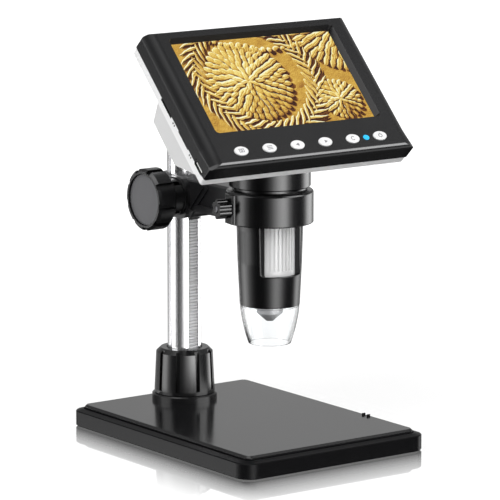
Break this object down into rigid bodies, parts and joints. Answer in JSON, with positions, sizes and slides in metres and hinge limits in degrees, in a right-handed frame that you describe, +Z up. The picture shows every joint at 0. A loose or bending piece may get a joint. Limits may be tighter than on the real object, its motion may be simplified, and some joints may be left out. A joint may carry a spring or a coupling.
{
  "type": "digital microscope",
  "caption": "Digital microscope with a tilted screen on a geared column stand: camera barrel in a ring arm, height knob, focus wheel and a flat base.",
  "frame": {"origin": "centre of the base, on the surface that its rubber feet stand on", "axes": "+Z up along the column, +X to the right as the screen is read, +Y to the back, from the barrel to the column"},
  "size_m": [0.1216, 0.15, 0.2051],
  "materials": {
    "base_black": "satin black moulding",
    "stand_black": "fine matt black moulding",
    "barrel_black": "polished black",
    "bezel_black": "fine satin black moulding",
    "housing_white": "fine satin white moulding",
    "column_metal": "polished and clear anodised",
    "rack_metal": "milled",
    "steel": "plain",
    "chrome_tip": "polished",
    "foot_rubber": "matt",
    "weight_iron": "raw",
    "disc_grey": "satin grey",
    "knob_black": "satin black",
    "wheel_white": "white, slightly translucent",
    "cone_metal": "dark anodised",
    "carrier_black": "matt black",
    "lens_glass": "polished",
    "hood_clear": "clear acrylic",
    "board_green": "solder mask",
    "display_face": "display face showing a golden picture",
    "tray_metal": "pressed tray",
    "button_white": "white",
    "lamp_cyan": "cyan lens",
    "led_amber": "lamp resin",
    "cell_silver": "wrapped cell",
    "socket_black": "black moulding",
    "nylon": "nylon"
  },
  "bodies": {
    "base": {"base_shell": "base_black", "base_cover": "stand_black", "base_weight": "weight_iron", "base_screws": "steel", "rubber_foot_1": "foot_rubber", "rubber_foot_2": "foot_rubber", "rubber_foot_3": "foot_rubber", "rubber_foot_4": "foot_rubber", "column_socket": "stand_black", "socket_screws": "steel", "column": "column_metal", "column_cap": "stand_black", "rack": "rack_metal"},
    "lock_nut": {"lock_nut": "stand_black"},
    "carriage": {"carriage_arm": "stand_black", "friction_pad": "nylon", "tension_screw": "steel", "pinion_cover": "stand_black", "cover_screws": "steel"},
    "pinion": {"pinion_shaft": "steel", "height_knob": "knob_black", "knob_disc": "disc_grey"},
    "grip": {"grip_screw": "chrome_tip", "grip_knob": "barrel_black"},
    "head": {"neck": "barrel_black", "neck_screws": "steel", "barrel": "barrel_black", "sensor_holder": "carrier_black", "sensor_board": "board_green", "image_sensor": "socket_black", "led_board": "board_green", "ring_leds": "led_amber", "clear_hood": "hood_clear", "front_bezel": "bezel_black", "display_panel": "display_face", "backlight": "tray_metal", "main_board": "board_green", "button_board": "board_green", "key_switches": "steel", "indicator_lamp": "lamp_cyan", "usb_port": "socket_black", "card_socket": "socket_black", "side_socket": "socket_black", "battery": "cell_silver", "rear_housing": "housing_white", "case_screws": "steel"},
    "focus_wheel": {"focus_wheel": "wheel_white"},
    "lens": {"lens_carrier": "carrier_black", "lens_cone": "cone_metal", "front_lens": "lens_glass", "rear_lens": "lens_glass"},
    "button_1": {"button_1": "button_white"},
    "button_2": {"button_2": "button_white"},
    "button_3": {"button_3": "button_white"},
    "button_4": {"button_4": "button_white"},
    "button_5": {"button_5": "button_white"},
    "button_6": {"button_6": "button_white"}
  },
  "joints": [
    {"name": "lock_nut_turn", "type": "hinge", "parent": "base", "child": "lock_nut", "pos_m": [0, 0.053, 0.026], "axis": [0, 0, 1], "range_deg": [0, 360]},
    {"name": "carriage_height", "type": "slide", "parent": "base", "child": "carriage", "axis": [0, 0, 1], "range_m": [-0.038, 0.055]},
    {"name": "height_knob_turn", "type": "hinge", "parent": "carriage", "child": "pinion", "pos_m": [0, 0.04106, 0.117], "axis": [1, 0, 0], "range_deg": [-720, 500]},
    {"name": "grip_knob_turn", "type": "hinge", "parent": "carriage", "child": "grip", "pos_m": [-0.02098, -0.0157, 0.11935], "axis": [-0.9848, 0.1736, 0], "range_deg": [0, 360]},
    {"name": "head_swivel", "type": "hinge", "parent": "carriage", "child": "head", "pos_m": [0, -0.0194, 0.12], "axis": [0, 0, 1], "range_deg": [-55, 55]},
    {"name": "focus_turn", "type": "hinge", "parent": "head", "child": "focus_wheel", "pos_m": [0, -0.0194, 0.1], "axis": [0, 0, 1], "range_deg": [-272, 272]},
    {"name": "lens_focus", "type": "slide", "parent": "head", "child": "lens", "axis": [0, 0, 1], "range_m": [-0.003, 0.003]},
    {"name": "button_1_press", "type": "slide", "parent": "head", "child": "button_1", "axis": [0, 0.7157, -0.6984], "range_m": [0, 0.0006], "stiffness_N_per_m": 400},
    {"name": "button_2_press", "type": "slide", "parent": "head", "child": "button_2", "axis": [0, 0.7157, -0.6984], "range_m": [0, 0.0006], "stiffness_N_per_m": 400},
    {"name": "button_3_press", "type": "slide", "parent": "head", "child": "button_3", "axis": [0, 0.7157, -0.6984], "range_m": [0, 0.0006], "stiffness_N_per_m": 400},
    {"name": "button_4_press", "type": "slide", "parent": "head", "child": "button_4", "axis": [0, 0.7157, -0.6984], "range_m": [0, 0.0006], "stiffness_N_per_m": 400},
    {"name": "button_5_press", "type": "slide", "parent": "head", "child": "button_5", "axis": [0, 0.7157, -0.6984], "range_m": [0, 0.0006], "stiffness_N_per_m": 400},
    {"name": "button_6_press", "type": "slide", "parent": "head", "child": "button_6", "axis": [0, 0.7157, -0.6984], "range_m": [0, 0.0006], "stiffness_N_per_m": 400}
  ],
  "couplings": [
    {"joint": "height_knob_turn", "follows": "carriage_height", "rad_per_m": -222.22},
    {"joint": "focus_turn", "follows": "lens_focus", "rad_per_m": -1570.8}
  ]
}
